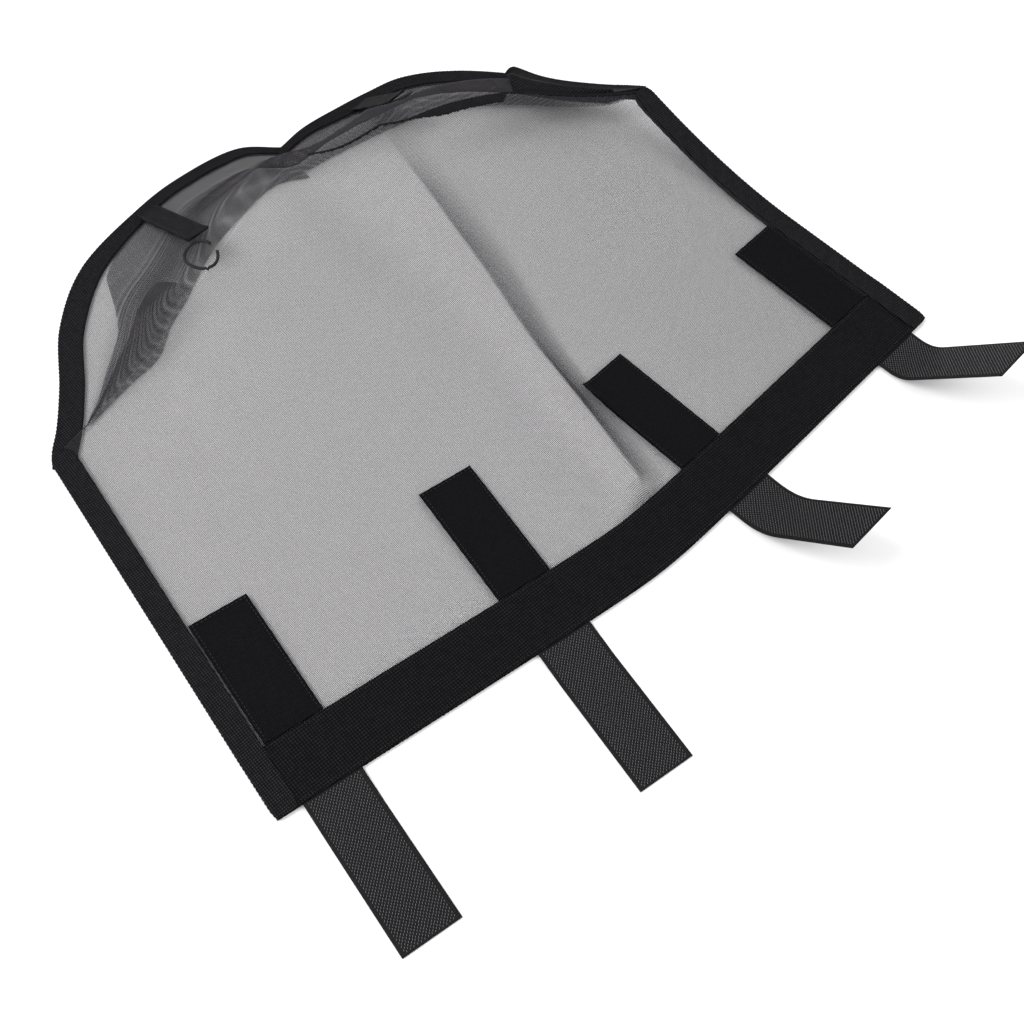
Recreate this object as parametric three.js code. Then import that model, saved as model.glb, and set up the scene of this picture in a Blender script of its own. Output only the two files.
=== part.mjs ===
// Mesh windshield screen for an open three-wheeler: a sheer front panel with a webbing hem, bound
// edges, a two-lobed hood pocket at the top, and four hook straps that fold up onto loop patches.
// Millimetres, +Z up. The screen lies on its back, face up, on the plane z = 0.
import * as THREE from 'three';

// ---- driving dimensions -------------------------------------------------------------------------
const TAPE = 50;                    // width of the hook, loop and strap tape
const HEM = 52;                     // width of the hem webbing
const HALF_HEM = 359;               // centre of the hem to a side edge, along the hem
const HEM_ANGLE = THREE.MathUtils.degToRad(5.65);   // each half of the hem rises from the centre
const HEM_BEND = 4;                 // rounds the hem where its halves meet
const PATCH_LENGTH = 112;           // loop patch above the hem
const STRAP_LENGTH = 130;           // hook strap below the hem
const STRAP_AT = [-312, -103.5, 103.5, 312];        // strap and patch centres along the hem
const STRAP_CURL = [0, 0, 50, 50];  // degrees that each strap's free end curls up at rest
const BINDING = 20;                 // width of the folded edge binding
const TAB_WIDTH = 22;
const SEAM_TAPE = 9;

// ---- layers, bottom to top (heights of the flat stack, with sewing gaps between) ----------------
const GAP = 0.3;
const SHEET = 0.6;                  // mesh fabric
const WEBBING = 0.8;                // hem webbing and binding tape
const ROOT = 0.8;                   // sewn-in end of a strap
const STRAP = 1.2;                  // free part of a strap
const PATCH = 1.5;
const BACK_HEM_Z = WEBBING + GAP;
const ROOT_Z = BACK_HEM_Z + WEBBING + GAP;
const PANEL_Z = ROOT_Z + ROOT + GAP;
const FRONT_HEM_Z = PANEL_Z + SHEET + GAP;
const SIDE_TOP_Z = FRONT_HEM_Z + WEBBING + GAP;      // underside of a side binding's upper flange
const HOOD_BACK_Z = WEBBING + GAP;
const HOOD_FRONT_Z = HOOD_BACK_Z + SHEET + GAP;      // the hood's front layer where it is bound
const HOOD_TOP_Z = HOOD_FRONT_Z + SHEET + GAP;       // underside of the hood binding's upper flange
const CLEAR = 1.2;                  // an edge stops this far short of the fold of its binding

// ---- plan curves --------------------------------------------------------------------------------
// Each half of the hem has its own axes: d along the hem from the centre, t up from its lower edge.
const cosHem = Math.cos(HEM_ANGLE);
const sinHem = Math.sin(HEM_ANGLE);
function halfPoint(half, d, t) {
  const rise = Math.hypot(d * sinHem, HEM_BEND);
  return new THREE.Vector2(half * (d * cosHem - t * sinHem), rise + t * cosHem);
}
const LEFT = -1;
const RIGHT = 1;

// The hood's outer edge: two lobes that meet at a notch. The heights along the hood's seam give
// the shape that the cloth takes where the pocket stands open.
const NOTCH = [20, 538];
const LOBE_LEFT = [[-301, 405], [-278, 437], [-246, 487], [-198, 529], [-127, 554],
  [-78, 563], [-12, 560], NOTCH];
const LOBE_RIGHT = [NOTCH, [50, 545], [92, 546], [125, 545], [163, 541], [208, 519],
  [250, 480, 3], [283, 437, 12], [306, 405, 23]];
const SEAM = [
  [-320, 382, 0], [-282, 391, 3], [-230, 403, 12], [-196, 409, 20], [-169, 426, 26],
  [-136, 436, 31], [-92, 456, 33], [-45, 478, 34], [0, 494, 35], [40, 474, 41], [85, 463, 47],
  [144, 452, 49], [204, 430, 46], [256, 399, 38], [296, 378, 33], [321, 368, 31],
];
const plan = (points) => new THREE.CatmullRomCurve3(
  points.map(([x, y, z = 0]) => new THREE.Vector3(x, y, z)));
const lobeLeft = plan(LOBE_LEFT);
const lobeRight = plan(LOBE_RIGHT);
const seam = plan(SEAM);
const SEAM_NOTCH = 0.53;            // the place along the seam below the notch
const HOOD_START = 0.055;           // the hood's pieces stop this far along the seam from its ends

const smooth = (a, b, x) => THREE.MathUtils.smoothstep(x, a, b);
const mix = THREE.MathUtils.lerp;

// ---- the shape of the front panel ---------------------------------------------------------------
// across: 0 at the left edge to 1 at the right edge; up: 0 at the hem's upper edge to 1 at the seam.
const CREST_HEM = 0.558;            // the ridge's place at the hem and at the seam, as across
const CREST_SEAM = 0.617;
const CREST_BOW = 0.014;            // how far it bows sideways above the patches
const PATCH_TOP = 0.27;             // the patches' upper ends, as up
const CREST_HEIGHT = 21;
const CREST_LEFT = 75;              // reach of the ridge's gentle side
const CREST_STEEP = 1.7;            // reach of its steep side, as a share of its height
const FLAT_TO = 0.38;               // the panel lies flat up to here and rises to the seam above it

function hemPoint(across, t) {
  const along = (2 * across - 1) * (HALF_HEM - CLEAR);
  return halfPoint(along < 0 ? LEFT : RIGHT, Math.abs(along), t);
}

// The ridge's height at a distance to the side of its crest; it starts at the hem, is highest
// half way up and runs out just short of the seam.
function ridge(offset, up) {
  const height = CREST_HEIGHT * smooth(0, 0.62, up) * (1 - smooth(0.68, 0.97, up));
  const steep = CREST_STEEP * mix(0.5, 1, smooth(0.28, 0.6, up));
  const reach = offset < 0 ? CREST_LEFT * mix(0.3, 1, up) : steep * height + 1;
  return height * Math.max(0, 1 - Math.abs(offset) / reach) ** (offset < 0 ? 1.4 : 2);
}

function panelPoint(across, up) {
  const low = hemPoint(across, up < 0 ? HEM * (1 + up) : HEM);
  if (up <= 0) return new THREE.Vector3(low.x, low.y, PANEL_Z);
  const high = seam.getPointAt(across);
  const lift = high.z * Math.max(0, (up - FLAT_TO) / (1 - FLAT_TO)) ** 1.8;
  const bow = CREST_BOW * Math.sin(Math.PI * THREE.MathUtils.clamp((up - PATCH_TOP) / 0.6, 0, 1));
  const offset = (across - mix(CREST_HEM, CREST_SEAM, up) - bow) * 2 * HALF_HEM;
  const x = mix(low.x, high.x, up);
  const y = mix(low.y, high.y, up);
  return new THREE.Vector3(x, y, PANEL_Z + lift + ridge(offset, up));
}

// ---- the shape of the hood ----------------------------------------------------------------------
const FLAT_EDGE = BINDING + 3;      // the hood lies flat this far in from its bound edge
const EDGE_SAMPLES = 160;
const lobes = {
  [LEFT]: { curve: lobeLeft, points: lobeLeft.getSpacedPoints(EDGE_SAMPLES) },
  [RIGHT]: { curve: lobeRight, points: lobeRight.getSpacedPoints(EDGE_SAMPLES) },
};
// How far a place is from the lobe's bound edge, and how high that edge is there.
function nearestEdge(half, x, y) {
  const found = { distance: Infinity, z: 0 };
  for (const p of lobes[half].points) {
    const distance = Math.hypot(p.x - x, p.y - y);
    if (distance < found.distance) Object.assign(found, { distance, z: Math.max(0, p.z) });
  }
  return found;
}
// along: the place on one lobe, 0 to 1; row: 0 at the seam, 1 where the flat edge starts, 2 at the edge.
function hoodPoint(half, along, row) {
  const place = half === LEFT ? mix(HOOD_START, SEAM_NOTCH - 0.004, along)
    : mix(SEAM_NOTCH + 0.004, 1 - HOOD_START, along);
  const low = seam.getPointAt(place);
  const edge = lobes[half].curve.getPointAt(along);
  const seamGap = 1 / Math.hypot(edge.x - low.x, edge.y - low.y);
  const nearest = (out) => nearestEdge(half, mix(low.x, edge.x, out), mix(low.y, edge.y, out));
  const away = (out) => nearest(out).distance;
  let flatFrom = seamGap;
  let tooFar = 1;
  for (let n = 0; n < 16 && away(seamGap) > FLAT_EDGE; n += 1) {
    const middle = (flatFrom + tooFar) / 2;
    if (away(middle) > FLAT_EDGE) flatFrom = middle;
    else tooFar = middle;
  }
  const edgeAt = 1 - 2 * CLEAR * seamGap;
  const out = row < 1 ? mix(seamGap, flatFrom, row) : mix(flatFrom, edgeAt, row - 1);
  const rise = away(seamGap) > FLAT_EDGE ? Math.max(0, 1 - row) : 0;
  const bulge = half === RIGHT ? 8 * Math.sin(Math.PI * rise * rise) : 0;
  const base = nearest(out).z + HOOD_FRONT_Z;
  const z = base + (low.z + PANEL_Z - base) * rise ** 1.25 + bulge;
  return new THREE.Vector3(mix(low.x, edge.x, out), mix(low.y, edge.y, out), z);
}

// ---- solids -------------------------------------------------------------------------------------
function closedMesh(points, quads) {
  const triangles = quads.flatMap(([a, b, c, d]) => [[a, b, c], [a, c, d]]);
  const corner = new THREE.Vector3();
  const volume = triangles.reduce((sum, [a, b, c]) => (
    sum + corner.crossVectors(points[b], points[c]).dot(points[a])), 0);
  if (volume < 0) triangles.forEach((triangle) => triangle.reverse());
  const geometry = new THREE.BufferGeometry();
  const position = new Float32Array(points.flatMap((p) => [p.x, p.y, p.z]));
  geometry.setAttribute('position', new THREE.BufferAttribute(position, 3));
  geometry.setIndex(triangles.flat());
  return geometry;
}

// A sheet of even thickness over a surface given by point(i, j), with rows and columns of cells.
function slab(columns, rows, thickness, point) {
  const points = [];
  const at = (i, j, top) => 2 * (i * (rows + 1) + j) + (top ? 1 : 0);
  for (let i = 0; i <= columns; i += 1) {
    for (let j = 0; j <= rows; j += 1) {
      const p = point(i, j);
      points.push(p, new THREE.Vector3(p.x, p.y, p.z + thickness));
    }
  }
  const quads = [];
  for (let i = 0; i < columns; i += 1) {
    for (let j = 0; j < rows; j += 1) {
      quads.push([at(i, j, true), at(i + 1, j, true), at(i + 1, j + 1, true), at(i, j + 1, true)]);
      quads.push([at(i, j, false), at(i, j + 1, false), at(i + 1, j + 1, false), at(i + 1, j, false)]);
    }
    quads.push([at(i, 0, false), at(i + 1, 0, false), at(i + 1, 0, true), at(i, 0, true)]);
    quads.push([at(i, rows, true), at(i + 1, rows, true),
      at(i + 1, rows, false), at(i, rows, false)]);
  }
  for (let j = 0; j < rows; j += 1) {
    quads.push([at(0, j, true), at(0, j + 1, true), at(0, j + 1, false), at(0, j, false)]);
    quads.push([at(columns, j, false), at(columns, j + 1, false),
      at(columns, j + 1, true), at(columns, j, true)]);
  }
  return closedMesh(points, quads);
}

// A folded binding along a path: each station has its outer edge point and the direction inward.
function binding(stations, innerHeight) {
  const depth = BINDING;
  const outline = [
    [0, 0], [depth, 0], [depth, WEBBING], [WEBBING, WEBBING],
    [WEBBING, innerHeight], [depth, innerHeight],
    [depth, innerHeight + WEBBING], [0, innerHeight + WEBBING],
  ];
  const points = stations.flatMap(({ at, inward }) => outline.map(([inset, rise]) => (
    new THREE.Vector3(at.x + inward.x * inset, at.y + inward.y * inset, at.z + rise))));
  const count = outline.length;
  const quads = [];
  for (let i = 0; i + 1 < stations.length; i += 1) {
    for (let k = 0; k < count; k += 1) {
      const next = (k + 1) % count;
      quads.push([i * count + k, (i + 1) * count + k, (i + 1) * count + next, i * count + next]);
    }
  }
  const caps = [[0, 1, 2, 3], [0, 3, 4, 7], [4, 5, 6, 7]];
  const last = (stations.length - 1) * count;
  for (const cap of caps) {
    quads.push(cap);
    quads.push([...cap].reverse().map((k) => last + k));
  }
  return closedMesh(points, quads);
}

// A patch or strap lying flat beside the hem: t runs from low to high.
function flatStrip(half, d, width, low, high, z, thickness) {
  const corner = (i, j) => {
    const p = halfPoint(half, d + half * (i - 0.5) * width, mix(low, high, j));
    return new THREE.Vector3(p.x, p.y, z);
  };
  return slab(1, 1, thickness, corner);
}

// ---- materials ----------------------------------------------------------------------------------
const finish = (color, roughness, opacity = 1) => () => new THREE.MeshStandardMaterial({
  color, roughness, metalness: 0, opacity, transparent: opacity < 1 });
const meshFabric = finish(0x2b2a2e, 0.75, 0.55);
const tapeFabric = finish(0x1b1b1d, 0.9);
const loopPile = finish(0x131315, 1);
const hookTape = finish(0x2c2d31, 0.7);

const screen = new THREE.Group();
function add(name, geometry, material) {
  geometry.computeVertexNormals();
  const mesh = new THREE.Mesh(geometry, material());
  mesh.name = name;
  screen.add(mesh);
  return mesh;
}

// ---- front panel and hem ------------------------------------------------------------------------
const PANEL_COLUMNS = 60;
const PANEL_ROWS = 18;
const HEM_ROWS = 2;
const HEM_COLUMNS = 40;
const flangeAcross = (BINDING + 3) / (2 * HALF_HEM);
const columnAt = (i) => {
  if (i === 0) return 0;
  if (i === PANEL_COLUMNS) return 1;
  return mix(flangeAcross, 1 - flangeAcross, (i - 1) / (PANEL_COLUMNS - 2));
};
const upAt = (j) => (j < HEM_ROWS ? mix(-0.98, 0, j / HEM_ROWS) : (j - HEM_ROWS) / PANEL_ROWS);
const panelAt = (i, j) => panelPoint(columnAt(i), upAt(j) * 0.998);
add('front_mesh', slab(PANEL_COLUMNS, PANEL_ROWS + HEM_ROWS, SHEET, panelAt), meshFabric);

// The seam's folded allowance, a narrow tape along the right half of the panel's upper edge; on
// the left the cloth turns over into the hood with no seam.
function seamTape(first, last) {
  const point = (i, j) => {
    const across = columnAt(first + i);
    const below = panelPoint(across, 1 - 1 / PANEL_ROWS);
    const above = panelPoint(across, 1);
    const inset = mix(SEAM_TAPE, GAP, j) / below.distanceTo(above);
    const p = above.lerp(below, inset);
    return p.setZ(p.z + SHEET + GAP);
  };
  return slab(last - first, 1, SHEET, point);
}
const NOTCH_COLUMN = Math.round(SEAM_NOTCH * PANEL_COLUMNS);
add('seam_tape', seamTape(NOTCH_COLUMN, PANEL_COLUMNS - 2), tapeFabric);

function hemWebbing(z) {
  const corner = (i, j) => {
    const p = hemPoint(i / HEM_COLUMNS, j * HEM);
    return new THREE.Vector3(p.x, p.y, z);
  };
  return slab(HEM_COLUMNS, 1, WEBBING, corner);
}
add('hem_webbing_back', hemWebbing(BACK_HEM_Z), tapeFabric);
add('hem_webbing_front', hemWebbing(FRONT_HEM_Z), tapeFabric);

// ---- side bindings ------------------------------------------------------------------------------
function sideBinding(half) {
  const stations = [];
  const inward = halfPoint(half, HALF_HEM - 1, 0).sub(halfPoint(half, HALF_HEM, 0));
  for (let j = 0; j <= PANEL_ROWS + HEM_ROWS; j += 1) {
    const edge = panelAt(half === LEFT ? 0 : PANEL_COLUMNS, j);
    const at = new THREE.Vector3(edge.x - inward.x * CLEAR, edge.y - inward.y * CLEAR, edge.z - PANEL_Z);
    stations.push({ at, inward });
  }
  if (half === RIGHT) stations.reverse();
  return binding(stations, SIDE_TOP_Z);
}
add('side_binding_left', sideBinding(LEFT), tapeFabric);
add('side_binding_right', sideBinding(RIGHT), tapeFabric);

// ---- hood ---------------------------------------------------------------------------------------
const HOOD_COLUMNS = 24;
const HOOD_ROWS = 12;
const HOOD_MOUTH = 2;               // the back layer starts this many rows from the seam
const HOOD_INSET = 0.012;           // keeps the two hoods' cloth apart at the notch
const TAB_AT = { left: 0.6, right: 0.29 };
const LOOP_RADIUS = 12;
const LOOP_CORD = 2.4;
const LOOP_RISE = 4;
const LOOP_STEPS = 16;
// The cord runs most of the way round a circle and leaves a gap towards the tab.
function loopCord(centre) {
  const turn = (n) => THREE.MathUtils.degToRad(mix(40, -200, n / LOOP_STEPS));
  const route = Array.from({ length: LOOP_STEPS + 1 }, (_, n) => new THREE.Vector3(
    centre.x + LOOP_RADIUS * Math.cos(turn(n)), centre.y + LOOP_RADIUS * Math.sin(turn(n)), centre.z));
  const section = new THREE.Shape().absarc(0, 0, LOOP_CORD / 2, 0, 2 * Math.PI);
  return new THREE.ExtrudeGeometry(section, {
    steps: 24, curveSegments: 8, bevelEnabled: false, extrudePath: new THREE.CatmullRomCurve3(route) });
}
const sides = [[LEFT, 'left'], [RIGHT, 'right']];
for (const [half, side] of sides) {
  const lobe = half === LEFT ? lobeLeft : lobeRight;
  const stations = [];
  for (let i = 0; i <= HOOD_COLUMNS; i += 1) {
    const along = i / HOOD_COLUMNS;
    const at = lobe.getPointAt(along);
    at.z = Math.max(0, at.z);
    const tangent = lobe.getTangentAt(along);
    stations.push({ at, inward: new THREE.Vector2(tangent.y, -tangent.x).normalize() });
  }
  stations.reverse();
  add(`hood_binding_${side}`, binding(stations, HOOD_TOP_Z), tapeFabric);

  const lobeAt = (i) => mix(HOOD_INSET, 1 - HOOD_INSET, i / HOOD_COLUMNS);
  const front = (i, j) => hoodPoint(half, lobeAt(i), 2 * j / HOOD_ROWS);
  const back = (i, j) => {
    const p = front(i, j + HOOD_MOUTH);
    return p.setZ(nearestEdge(half, p.x, p.y).z + HOOD_BACK_Z);
  };
  add(`hood_front_${side}`, slab(HOOD_COLUMNS, HOOD_ROWS, SHEET, front), meshFabric);

  // A short strap lies across the hood, from its binding to a loop beside the seam.
  const onCloth = (along, row) => {
    const column = (along - HOOD_INSET) / (1 - 2 * HOOD_INSET) * HOOD_COLUMNS;
    const i = Math.floor(column);
    return front(i, row).lerp(front(i + 1, row), column - i);
  };
  const tabRows = HOOD_ROWS / 2 - 1;
  const halfWidth = (row) => {
    const step = 0.01;
    const stepLength = onCloth(TAB_AT[side], row).distanceTo(onCloth(TAB_AT[side] + step, row));
    return TAB_WIDTH / 2 * step / stepLength;
  };
  const tab = (i, j) => {
    const p = onCloth(TAB_AT[side] + (i - 1) * halfWidth(j + 1), j + 1);
    return p.setZ(p.z + SHEET + 2 * GAP);
  };
  add(`hood_tab_${side}`, slab(2, tabRows, WEBBING, tab), tapeFabric);
  const end = onCloth(TAB_AT[side], 1);
  const loopHeight = onCloth(TAB_AT[side], 0).z + LOOP_RISE;
  const centre = new THREE.Vector3(end.x, end.y - LOOP_RADIUS * 0.4, loopHeight);
  add(`tab_loop_${side}`, loopCord(centre), tapeFabric);
  add(`hood_back_${side}`, slab(HOOD_COLUMNS, HOOD_ROWS - HOOD_MOUTH, SHEET, back), meshFabric);
}

// ---- patches, straps ----------------------------------------------------------------------------
const ROOT_LENGTH = HEM - 8;
const CURL_FLAT = 14;               // a curled strap lies flat this far from the hem, then bends over
const CURL_BEND = 22;               // within this length
const CURL_STEPS = 12;
const CURL_FINE = 60;
STRAP_AT.forEach((place, k) => {
  const half = place < 0 ? LEFT : RIGHT;
  const d = Math.abs(place);
  const number = k + 1;
  const patch = flatStrip(half, d, TAPE, HEM + GAP, HEM + PATCH_LENGTH, FRONT_HEM_Z, PATCH);
  add(`loop_patch_${number}`, patch, loopPile);
  add(`strap_root_${number}`, flatStrip(half, d, TAPE, GAP, ROOT_LENGTH, ROOT_Z, ROOT), hookTape);

  // The free strap leaves the hem flat, bends up and runs on straight to its cut end.
  const curl = THREE.MathUtils.degToRad(STRAP_CURL[k]);
  const steps = curl > 0 ? CURL_STEPS : 2;
  const profile = [[0, 0]];
  const step = (STRAP_LENGTH - GAP) / CURL_FINE;
  for (let n = 0; n < CURL_FINE; n += 1) {
    const slope = curl * THREE.MathUtils.clamp(((n + 0.5) * step - CURL_FLAT) / CURL_BEND, 0, 1);
    const [reach, rise] = profile[n];
    profile.push([reach + step * Math.cos(slope), rise + step * Math.sin(slope)]);
  }
  const corner = (i, j) => {
    const [reach, rise] = profile[Math.round((j / steps) * CURL_FINE)];
    const p = halfPoint(half, d - half * (i - 0.5) * TAPE, -GAP - reach);
    return new THREE.Vector3(p.x, p.y, ROOT_Z + rise);
  };
  add(`hook_strap_${number}`, slab(1, steps, STRAP, corner), hookTape);
});

// ---- origin: the middle of the box's underside --------------------------------------------------
const box = new THREE.Box3().setFromObject(screen);
const middle = box.getCenter(new THREE.Vector3());
screen.position.set(-middle.x, -middle.y, -box.min.z);

export default screen;
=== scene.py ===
import math

import bpy
import numpy as np
from mathutils import Matrix, Vector
from mathutils.bvhtree import BVHTree


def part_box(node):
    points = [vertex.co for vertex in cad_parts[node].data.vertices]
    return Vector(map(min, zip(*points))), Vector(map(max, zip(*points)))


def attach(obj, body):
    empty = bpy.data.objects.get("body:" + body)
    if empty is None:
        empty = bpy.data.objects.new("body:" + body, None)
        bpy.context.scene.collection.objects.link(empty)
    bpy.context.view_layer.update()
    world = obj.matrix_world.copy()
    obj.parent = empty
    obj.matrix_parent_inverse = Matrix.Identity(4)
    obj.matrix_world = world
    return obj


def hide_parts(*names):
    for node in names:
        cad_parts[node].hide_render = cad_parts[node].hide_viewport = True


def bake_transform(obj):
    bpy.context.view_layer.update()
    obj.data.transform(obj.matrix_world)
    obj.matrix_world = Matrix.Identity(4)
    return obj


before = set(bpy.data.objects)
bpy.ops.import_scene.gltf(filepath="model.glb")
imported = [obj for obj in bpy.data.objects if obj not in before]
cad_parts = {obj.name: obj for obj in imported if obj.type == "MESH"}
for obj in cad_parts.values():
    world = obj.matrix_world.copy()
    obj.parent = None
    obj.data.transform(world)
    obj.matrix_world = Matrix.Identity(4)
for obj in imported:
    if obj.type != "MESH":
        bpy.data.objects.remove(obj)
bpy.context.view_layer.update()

rng = np.random.default_rng(7)

# ---- driving dimensions -------------------------------------------------------------------------
# Those that the frame has too are the same there, apart from the third strap's curl.
TAPE = 50.0                 # width of the hook, loop and strap tape
HEM = 52.0                  # width of the hem webbing
HALF_HEM = 359.0            # centre of the hem to a side edge, along the hem
HEM_ANGLE = math.radians(5.65)  # how far each half of the hem turns up
HEM_BEND = 4.0              # rounds the hem where its halves meet
PATCH_LENGTH = 112.0        # above the hem
STRAP_LENGTH = 130.0        # below it
STRAP_AT = (-312.0, -103.5, 103.5, 312.0)  # straps and patches, along the hem
STRAP_CURL = (0, 0, 47, 50)  # degrees that each strap curls up by, at rest
BINDING = 20.0              # width of a binding, folded
TAB_WIDTH = 22.0

# heights of the layers above the floor, from the bottom up: at the hem, then in the hood
BACK_HEM_Z = 1.1
ROOT_Z = 2.2
PANEL_Z = 3.3
FRONT_HEM_Z = 4.2
SIDE_TOP_Z = 5.3
HOOD_BACK_Z = 1.1
HOOD_FRONT_Z = 2.0
HOOD_TOP_Z = 2.9

YARN_PITCH = 1.15           # spacing of the mesh's yarns
YARN = 0.31                 # side of a yarn's three-cornered section
HOOD_YARN = 0.3             # the same in the hood
WEAVE = 2.3                 # pitch of the webbing's ribs
RIB = 0.36                  # height of a rib

MM = 0.001
SHIFT_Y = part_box("hem_webbing_front")[0].y - HEM_BEND * MM
LEFT = -1
RIGHT = 1


def smooth(low, high, x):
    t = np.clip((np.asarray(x, float) - low) / (high - low), 0, 1)
    return t * t * (3 - 2 * t)


def mix(a, b, t):
    return a + (b - a) * t


# ---- camera, floor and light --------------------------------------------------------------------
CAMERA_TURN = (49.62, 61.36, 9.77)      # degrees: the way it looks, its tilt down, its roll
CAMERA_AT = (-0.4734, -0.231, 0.9906)   # metres, from the origin of the cloth's plan
LENS = 49.22
SENSOR = 36
FLOOR_REACH = 6.0
FLOOR_Z = -0.0005                       # just below the lowest cloth


def camera():
    azimuth, elevation, roll = (math.radians(a) for a in CAMERA_TURN)
    level = Vector((math.cos(azimuth), -math.sin(azimuth), 0))
    forward = Vector((math.sin(azimuth) * math.cos(elevation),
                      math.cos(azimuth) * math.cos(elevation), -math.sin(elevation)))
    upright = level.cross(forward)
    right = level * math.cos(roll) + upright * math.sin(roll)
    up = upright * math.cos(roll) - level * math.sin(roll)
    turn = Matrix((right, up, -forward)).transposed().to_4x4()
    data = bpy.data.cameras.new("camera")
    data.lens = LENS
    data.sensor_width = SENSOR
    data.clip_start = 0.01
    obj = bpy.data.objects.new("camera", data)
    x, y, z = CAMERA_AT
    obj.matrix_world = Matrix.Translation((x, SHIFT_Y + y, z)) @ turn
    bpy.context.collection.objects.link(obj)
    bpy.context.scene.camera = obj


def area_light(name, place, aim, size, power):
    data = bpy.data.lights.new(name, "AREA")
    data.shape = "DISK"
    data.size = size
    data.energy = power
    obj = bpy.data.objects.new(name, data)
    obj.location = place
    obj.rotation_euler = (Vector(aim) - Vector(place)).to_track_quat("-Z", "Y").to_euler()
    bpy.context.collection.objects.link(obj)


def studio():
    floor_mesh = bpy.data.meshes.new("floor")
    far = FLOOR_REACH
    corners = [(-far, -far, 0), (far, -far, 0), (far, far, 0), (-far, far, 0)]
    floor_mesh.from_pydata(corners, [], [(0, 1, 2, 3)])
    floor = bpy.data.objects.new("floor", floor_mesh)
    floor_mesh.materials.append(plain("floor_paper", (0.86, 0.86, 0.86), 0.9, 0.1))
    floor.location.z = FLOOR_Z
    bpy.context.collection.objects.link(floor)
    world = bpy.data.worlds.new("studio")
    world.use_nodes = True
    world.node_tree.nodes["Background"].inputs["Color"].default_value = (1, 1, 1, 1)
    world.node_tree.nodes["Background"].inputs["Strength"].default_value = 1.0
    bpy.context.scene.world = world
    area_light("key", (-1.3, 0.6, 2.0), (0, 0, 0), 1.2, 42)
    area_light("fill", (1.2, -1.4, 1.8), (0, 0, 0), 1.6, 14)
    bpy.context.scene.view_settings.view_transform = "Standard"


# ---- materials ----------------------------------------------------------------------------------
def shader(name):
    material = bpy.data.materials.new(name)
    material.use_nodes = True
    return material, material.node_tree.nodes["Principled BSDF"]


def plain(name, colour, roughness, specular):
    material, surface = shader(name)
    surface.inputs["Base Color"].default_value = (*colour, 1)
    surface.inputs["Roughness"].default_value = roughness
    surface.inputs["Specular IOR Level"].default_value = specular
    return material


def grained(material, surface, place, scale, depth):
    """A fine grain of fibres in the surface."""
    nodes, links = material.node_tree.nodes, material.node_tree.links
    grain = nodes.new("ShaderNodeTexNoise")
    grain.inputs["Scale"].default_value = scale
    grain.inputs["Detail"].default_value = 3
    relief = nodes.new("ShaderNodeBump")
    relief.inputs["Strength"].default_value = depth
    relief.inputs["Distance"].default_value = 0.0003
    links.new(place.outputs["Object"], grain.inputs["Vector"])
    links.new(grain.outputs["Fac"], relief.inputs["Height"])
    links.new(relief.outputs["Normal"], surface.inputs["Normal"])


def cloth(name, dark, light, roughness, specular, pitch, drift=300, grain=2500):
    """Woven cloth: a painted highlight on the tops of the threads, at a pitch in millimetres, over
    painted shade on the ground between them, mottled at random.
    """
    material, surface = shader(name)
    nodes, links = material.node_tree.nodes, material.node_tree.links
    place = nodes.new("ShaderNodeTexCoord")
    crown_highlights = []
    for direction in ("X", "Y"):
        wave = nodes.new("ShaderNodeTexWave")
        wave.bands_direction = direction
        wave.inputs["Scale"].default_value = math.pi / (10 * pitch * MM)
        wave.inputs["Distortion"].default_value = 0.6
        wave.inputs["Detail Scale"].default_value = 3.0
        links.new(place.outputs["Object"], wave.inputs["Vector"])
        crown_highlights.append(wave)
    both = nodes.new("ShaderNodeMath")
    both.operation = "MULTIPLY"
    uneven = nodes.new("ShaderNodeTexNoise")
    uneven.inputs["Scale"].default_value = drift
    uneven.inputs["Detail"].default_value = 4
    level = nodes.new("ShaderNodeMath")
    level.operation = "MULTIPLY"
    # painted light: the ramp runs from the painted shade between the threads (dark) to the painted
    # highlight on their tops (light)
    tones = nodes.new("ShaderNodeValToRGB")
    tones.color_ramp.elements[0].position = 0.02
    tones.color_ramp.elements[0].color = (*dark, 1)
    tones.color_ramp.elements[1].position = 0.5
    tones.color_ramp.elements[1].color = (*light, 1)
    gloss = nodes.new("ShaderNodeMapRange")
    gloss.inputs["To Min"].default_value = roughness + 0.1
    gloss.inputs["To Max"].default_value = roughness - 0.1
    links.new(crown_highlights[0].outputs["Fac"], both.inputs[0])
    links.new(crown_highlights[1].outputs["Fac"], both.inputs[1])
    links.new(place.outputs["Object"], uneven.inputs["Vector"])
    links.new(both.outputs["Value"], level.inputs[0])
    links.new(uneven.outputs["Fac"], level.inputs[1])
    links.new(level.outputs["Value"], tones.inputs["Fac"])
    links.new(uneven.outputs["Fac"], gloss.inputs["Value"])
    links.new(tones.outputs["Color"], surface.inputs["Base Color"])
    links.new(gloss.outputs["Result"], surface.inputs["Roughness"])
    surface.inputs["Specular IOR Level"].default_value = specular
    grained(material, surface, place, grain, 0.3)
    return material


camera()
studio()
YARN_TONES = [plain("mesh_yarn_dark", (0.024, 0.022, 0.027), 0.6, 0.3),
              plain("mesh_yarn", (0.031, 0.028, 0.035), 0.55, 0.35),
              plain("mesh_yarn_light", (0.040, 0.037, 0.046), 0.5, 0.4)]
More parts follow.
